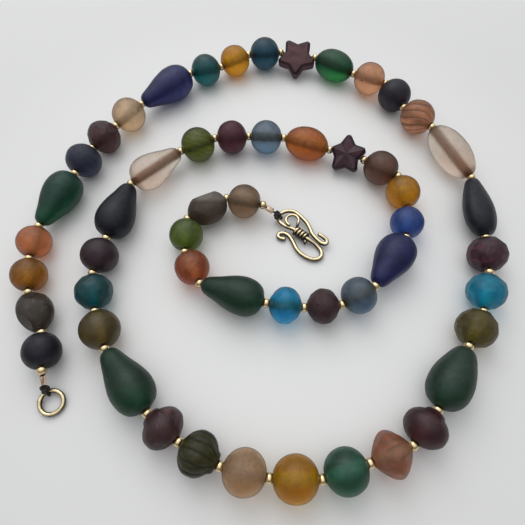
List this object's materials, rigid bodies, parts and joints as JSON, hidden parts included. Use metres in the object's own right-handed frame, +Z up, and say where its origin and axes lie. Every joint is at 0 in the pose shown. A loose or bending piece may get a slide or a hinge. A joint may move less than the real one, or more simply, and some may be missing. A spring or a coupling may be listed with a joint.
{
  "type": "beaded necklace",
  "caption": "Open bead necklace laid in a spiral: frosted glass beads and gold balls on a thread, with a wire hook at one end and a ring at the other.",
  "frame": {"origin": "middle of the laid necklace's footprint, on the surface it lies on", "axes": "+Z up from the surface, +Y away from the viewer along the longer side of the spiral, +X to the right"},
  "size_m": [0.164, 0.1772, 0.0136],
  "materials": {
    "glass_midnight": "frosted, translucent midnight glass",
    "glass_smoke": "frosted, translucent smoke glass",
    "glass_amber_brown": "frosted, translucent amber brown glass",
    "glass_rust": "frosted, translucent rust glass",
    "glass_bottle_green": "frosted, translucent bottle green glass",
    "glass_navy": "frosted, translucent navy glass",
    "glass_plum_brown": "frosted, translucent plum brown glass",
    "glass_beige": "frosted, translucent beige glass",
    "glass_indigo": "frosted, translucent indigo glass",
    "glass_teal": "frosted, translucent teal glass",
    "glass_amber": "frosted, translucent amber glass",
    "glass_petrol": "frosted, translucent petrol glass",
    "glass_maroon": "frosted, translucent maroon glass",
    "glass_emerald": "frosted, translucent emerald glass",
    "glass_peach": "frosted, translucent peach glass",
    "glass_aubergine": "frosted, translucent aubergine glass",
    "glass_umber": "frosted, translucent umber glass",
    "glass_clear": "frosted, translucent clear glass",
    "glass_black_blue": "frosted, translucent black blue glass",
    "glass_wine": "frosted, translucent wine glass",
    "glass_turquoise": "frosted, translucent turquoise glass",
    "glass_olive": "frosted, translucent olive glass",
    "glass_forest": "frosted, translucent forest glass",
    "glass_dark_plum": "frosted, translucent dark plum glass",
    "glass_copper": "frosted, translucent copper glass",
    "glass_sea_green": "frosted, translucent sea green glass",
    "glass_honey": "frosted, translucent honey glass",
    "glass_quartz": "frosted, translucent quartz glass",
    "glass_dark_olive": "frosted, translucent dark olive glass",
    "glass_khaki": "frosted, translucent khaki glass",
    "glass_deep_teal": "frosted, translucent deep teal glass",
    "glass_moss": "frosted, translucent moss glass",
    "glass_slate_blue": "frosted, translucent slate blue glass",
    "glass_orange": "frosted, translucent orange glass",
    "glass_purple": "frosted, translucent purple glass",
    "glass_cocoa": "frosted, translucent cocoa glass",
    "glass_blue": "frosted, translucent blue glass",
    "glass_bright_blue": "frosted, translucent bright blue glass",
    "glass_brick": "frosted, translucent brick glass",
    "glass_green": "frosted, translucent green glass",
    "antique_brass": "antiqued, dark in the grooves",
    "thread": "black waxed thread",
    "crimp_copper": "bright rose-gold plating",
    "spacer_gold": "bright gold plating"
  },
  "bodies": {
    "root": {"bead_01_midnight_round": "glass_midnight", "bead_02_smoke_nugget": "glass_smoke", "bead_03_amber_brown_round": "glass_amber_brown", "bead_04_rust_round": "glass_rust", "bead_05_bottle_green_teardrop": "glass_bottle_green", "bead_06_navy_round": "glass_navy", "bead_07_plum_brown_faceted": "glass_plum_brown", "bead_08_beige_round": "glass_beige", "bead_09_indigo_teardrop": "glass_indigo", "bead_10_teal_round": "glass_teal", "bead_11_amber_round": "glass_amber", "bead_12_petrol_round": "glass_petrol", "bead_13_maroon_star": "glass_maroon", "bead_14_emerald_oval": "glass_emerald", "bead_15_peach_round": "glass_peach", "bead_16_aubergine_round": "glass_aubergine", "bead_17_umber_melon": "glass_umber", "bead_18_clear_long": "glass_clear", "bead_19_black_blue_flat_teardrop": "glass_black_blue", "bead_20_wine_faceted": "glass_wine", "bead_21_turquoise_faceted": "glass_turquoise", "bead_22_olive_faceted": "glass_olive", "bead_23_forest_egg": "glass_forest", "bead_24_dark_plum_lantern": "glass_dark_plum", "bead_25_copper_bicone": "glass_copper", "bead_26_sea_green_round": "glass_sea_green", "bead_27_honey_round": "glass_honey", "bead_28_quartz_round": "glass_quartz", "bead_29_dark_olive_lantern": "glass_dark_olive", "bead_30_plum_brown_lantern": "glass_plum_brown", "bead_31_forest_teardrop": "glass_forest", "bead_32_khaki_round": "glass_khaki", "bead_33_deep_teal_faceted": "glass_deep_teal", "bead_34_dark_plum_round": "glass_dark_plum", "bead_35_black_blue_teardrop": "glass_black_blue", "bead_36_clear_teardrop": "glass_clear", "bead_37_moss_round": "glass_moss", "bead_38_dark_plum_round": "glass_dark_plum", "bead_39_slate_blue_round": "glass_slate_blue", "bead_40_orange_oval": "glass_orange", "bead_41_purple_star": "glass_purple", "bead_42_cocoa_round": "glass_cocoa", "bead_43_amber_round": "glass_amber", "bead_44_blue_round": "glass_blue", "bead_45_indigo_teardrop": "glass_indigo", "bead_46_slate_blue_round": "glass_slate_blue", "bead_47_plum_brown_faceted": "glass_plum_brown", "bead_48_bright_blue_faceted": "glass_bright_blue", "bead_49_forest_teardrop": "glass_forest", "bead_50_brick_round": "glass_brick", "bead_51_green_round": "glass_green", "bead_52_cocoa_nugget": "glass_cocoa", "bead_53_smoke_round": "glass_smoke", "ring": "antique_brass", "s_hook": "antique_brass", "wrap_wire": "antique_brass", "string": "thread", "crimp_ring_end": "crimp_copper", "crimp_hook_end": "crimp_copper"}
  },
  "joints": []
}
